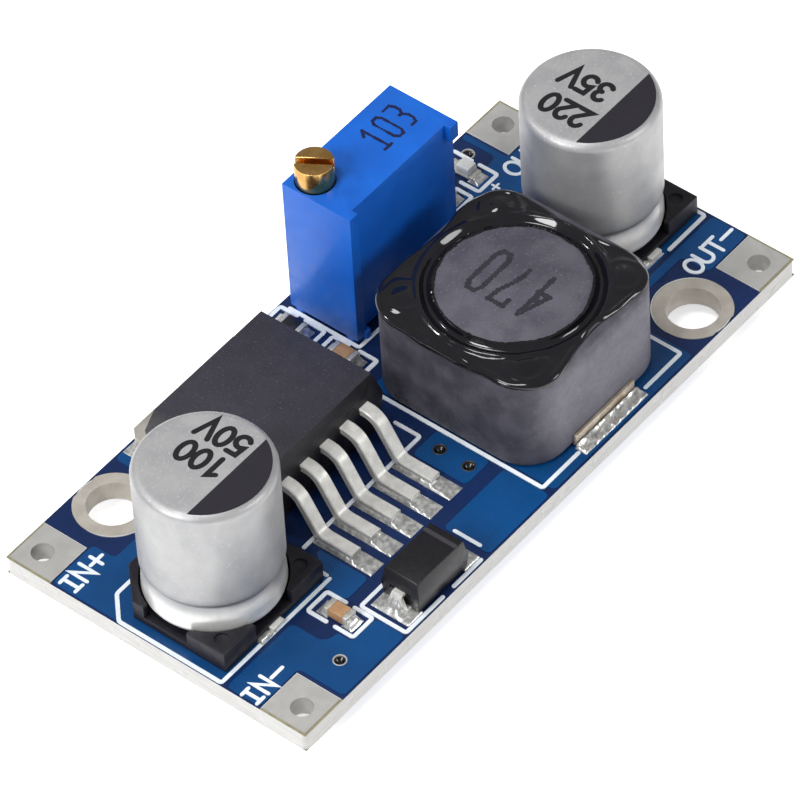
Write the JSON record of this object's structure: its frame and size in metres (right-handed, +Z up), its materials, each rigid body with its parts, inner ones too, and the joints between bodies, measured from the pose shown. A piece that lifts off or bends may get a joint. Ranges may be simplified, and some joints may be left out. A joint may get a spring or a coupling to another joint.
{
  "type": "adjustable buck converter module",
  "caption": "Small blue circuit board that steps a voltage down: regulator, shielded inductor, two can capacitors, diode and a multi-turn trimmer, with wire pads at its corners.",
  "frame": {"origin": "middle of the board's underside, which is also the middle between the two screw holes", "axes": "+X from the input end to the output end, +Y from the minus side to the plus side, +Z up out of the board's component side"},
  "size_m": [0.0432, 0.021, 0.0134],
  "materials": {
    "solder_mask_laminate": "glass-epoxy board under glossy blue solder mask",
    "tinned_copper": "tinned copper, dull",
    "black_epoxy": "transfer-moulded epoxy",
    "plated_tab": "nickel-tin plated copper, satin",
    "tinned_lead": "tinned leads, bright",
    "solder": "solder",
    "ferrite": "sintered ferrite, matt",
    "copper_winding": "enamelled copper wire",
    "black_adhesive": "glossy black epoxy adhesive",
    "base_plastic": "moulded black plastic",
    "can_aluminium": "coated aluminium can, satin",
    "blue_plastic": "moulded blue thermoplastic",
    "seal_rubber": "rubber",
    "screw_brass": "turned brass",
    "carriage_plastic": "moulded natural plastic",
    "alumina": "alumina plate with a resistance film",
    "brown_ceramic": "fired chip ceramic",
    "chip_end_tin": "tinned chip ends",
    "chip_black": "black glass over alumina",
    "lamp_carrier": "white glass-epoxy",
    "lamp_resin": "clear yellowish resin"
  },
  "bodies": {
    "module": {"circuit_board": "solder_mask_laminate", "wire_pads": "tinned_copper", "screw_hole_rings": "tinned_copper", "via_rings": "tinned_copper", "regulator_body": "black_epoxy", "regulator_tab": "plated_tab", "regulator_leads": "tinned_lead", "regulator_solder": "solder", "inductor_shield": "ferrite", "inductor_drum": "ferrite", "inductor_winding": "copper_winding", "inductor_adhesive": "black_adhesive", "inductor_terminals": "tinned_lead", "inductor_solder": "solder", "input_capacitor_base": "base_plastic", "input_capacitor_can": "can_aluminium", "input_capacitor_leads": "tinned_lead", "input_capacitor_solder": "solder", "output_capacitor_base": "base_plastic", "output_capacitor_can": "can_aluminium", "output_capacitor_leads": "tinned_lead", "output_capacitor_solder": "solder", "diode_body": "black_epoxy", "diode_leads": "tinned_lead", "diode_solder": "solder", "trimmer_case": "blue_plastic", "trimmer_potting": "black_epoxy", "trimmer_seal": "seal_rubber", "trimmer_element": "alumina", "trimmer_pins": "tinned_lead", "trimmer_solder": "solder", "input_ceramic_body": "brown_ceramic", "input_ceramic_ends": "chip_end_tin", "compensation_ceramic_body": "brown_ceramic", "compensation_ceramic_ends": "chip_end_tin", "feedback_resistor_body": "chip_black", "feedback_resistor_ends": "chip_end_tin", "lamp_resistor_body": "chip_black", "lamp_resistor_ends": "chip_end_tin", "lamp_carrier": "lamp_carrier", "lamp_lens": "lamp_resin", "lamp_ends": "chip_end_tin", "chip_solder": "solder"},
    "adjusting_screw": {"trimmer_screw": "screw_brass"},
    "wiper_carriage": {"trimmer_carriage": "carriage_plastic", "trimmer_wiper": "screw_brass"}
  },
  "joints": [
    {"name": "screw_turn", "type": "hinge", "parent": "module", "child": "adjusting_screw", "pos_m": [0.00325, 0.0085, 0.0126], "axis": [0, 0, 1], "range_deg": [-4500, 4500]},
    {"name": "carriage_travel", "type": "slide", "parent": "module", "child": "wiper_carriage", "axis": [0, 0, 1], "range_m": [-0.00279, 0.00279]}
  ],
  "couplings": [
    {"joint": "screw_turn", "follows": "carriage_travel", "rad_per_m": -28090}
  ]
}
